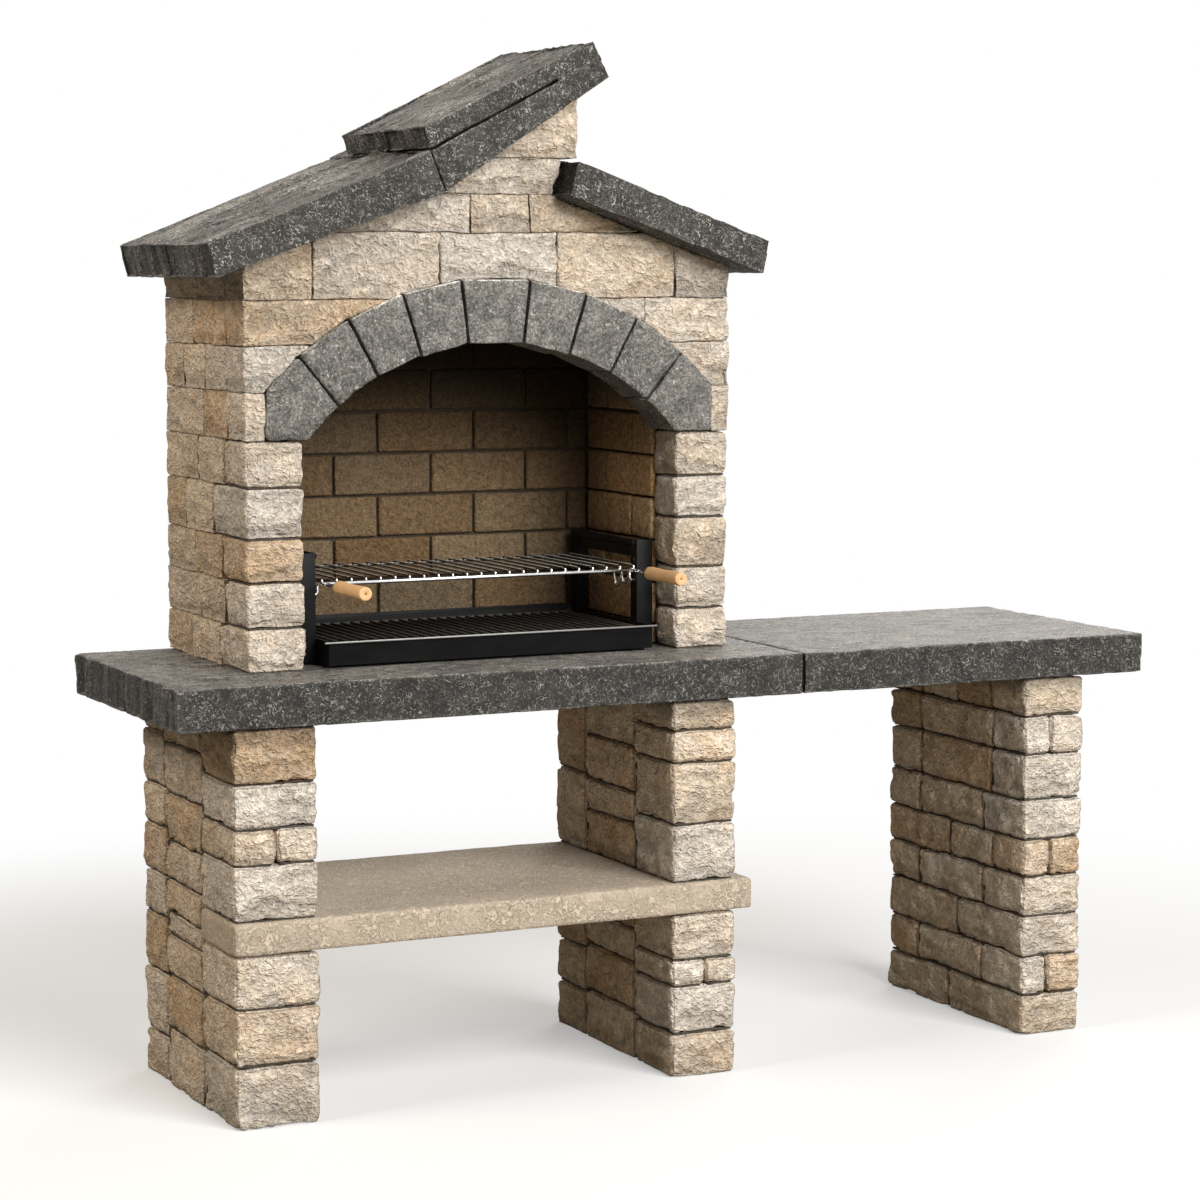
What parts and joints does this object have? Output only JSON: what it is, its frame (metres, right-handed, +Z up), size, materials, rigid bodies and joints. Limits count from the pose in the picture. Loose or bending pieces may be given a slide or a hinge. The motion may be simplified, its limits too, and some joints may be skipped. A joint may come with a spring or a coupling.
{
  "type": "masonry barbecue",
  "caption": "Stone garden barbecue with an arched, brick-lined hearth under a stepped slate roof, slate worktops, a log shelf and a pull-out fire insert with a cooking grid.",
  "frame": {"origin": "middle of the bounding box on the ground, under the piers", "axes": "+X to the right along the worktop as seen from the cook's side, +Y from the cook towards the back, +Z up"},
  "size_m": [2.288, 0.688, 2.1898],
  "materials": {
    "split_stone": "split face, matt",
    "slate": "cleft, matt",
    "shelf_stone": "sawn, finely pitted",
    "firebrick": "sandy, matt",
    "mortar": "rough, matt",
    "black_steel": "satin black",
    "grate_iron": "bare, dark",
    "chromed_wire": "bright",
    "handle_wood": "oiled, satin"
  },
  "bodies": {
    "masonry": {"arch_keystone": "slate", "arch_springer_left": "slate", "arch_springer_right": "slate", "arch_voussoir_left_high": "slate", "arch_voussoir_left_low": "slate", "arch_voussoir_left_middle": "slate", "arch_voussoir_right_high": "slate", "arch_voussoir_right_low": "slate", "arch_voussoir_right_middle": "slate", "back_gable_stones": "split_stone", "back_wall_stones": "split_stone", "firebox_back_bricks": "firebrick", "firebox_back_mortar_bed": "mortar", "firebox_left_bricks": "firebrick", "firebox_left_mortar_bed": "mortar", "firebox_right_bricks": "firebrick", "firebox_right_mortar_bed": "mortar", "front_gable_stones": "split_stone", "left_jamb_stones": "split_stone", "left_pier_front_lower_stones": "split_stone", "left_pier_front_upper_stones": "split_stone", "left_pier_rear_stones": "split_stone", "left_wall_stones": "split_stone", "log_shelf": "shelf_stone", "middle_pier_lower_stones": "split_stone", "middle_pier_upper_stones": "split_stone", "right_jamb_stones": "split_stone", "right_pier_stones": "split_stone", "right_wall_stones": "split_stone", "roof_cap_front_slab": "slate", "roof_cap_rear_slab": "slate", "roof_left_front_slab": "slate", "roof_left_rear_slab": "slate", "roof_ridge_front_slab": "slate", "roof_ridge_rear_slab": "slate", "roof_right_front_slab": "slate", "roof_right_rear_slab": "slate", "side_worktop_slab": "slate", "worktop_front_slab": "slate", "worktop_rear_slab": "slate"},
    "fire_insert": {"ember_pan": "black_steel", "pan_feet": "black_steel", "left_upright_front": "black_steel", "right_upright_front": "black_steel", "left_upright_rear": "black_steel", "right_upright_rear": "black_steel", "left_side_plate": "black_steel", "right_side_plate": "black_steel", "frame_rivets": "black_steel"},
    "ember_grate": {"ember_grate": "grate_iron"},
    "grid_carriers": {"left_grid_carrier": "chromed_wire", "right_grid_carrier": "chromed_wire"},
    "cooking_grid": {"cooking_grid": "chromed_wire", "left_grip_rods": "chromed_wire", "right_grip_rods": "chromed_wire", "left_wooden_grip": "handle_wood", "right_wooden_grip": "handle_wood"}
  },
  "joints": [
    {"name": "insert_pull", "type": "slide", "parent": "masonry", "child": "fire_insert", "axis": [0, -1, 0], "range_m": [0, 0.4]},
    {"name": "grate_lift", "type": "slide", "parent": "fire_insert", "child": "ember_grate", "axis": [0, 0, 1], "range_m": [0, 0.07]},
    {"name": "grid_height", "type": "slide", "parent": "fire_insert", "child": "grid_carriers", "axis": [0, 0, 1], "range_m": [0, 0.045]},
    {"name": "grid_pull", "type": "slide", "parent": "grid_carriers", "child": "cooking_grid", "axis": [0, -1, 0], "range_m": [0, 0.25]}
  ]
}
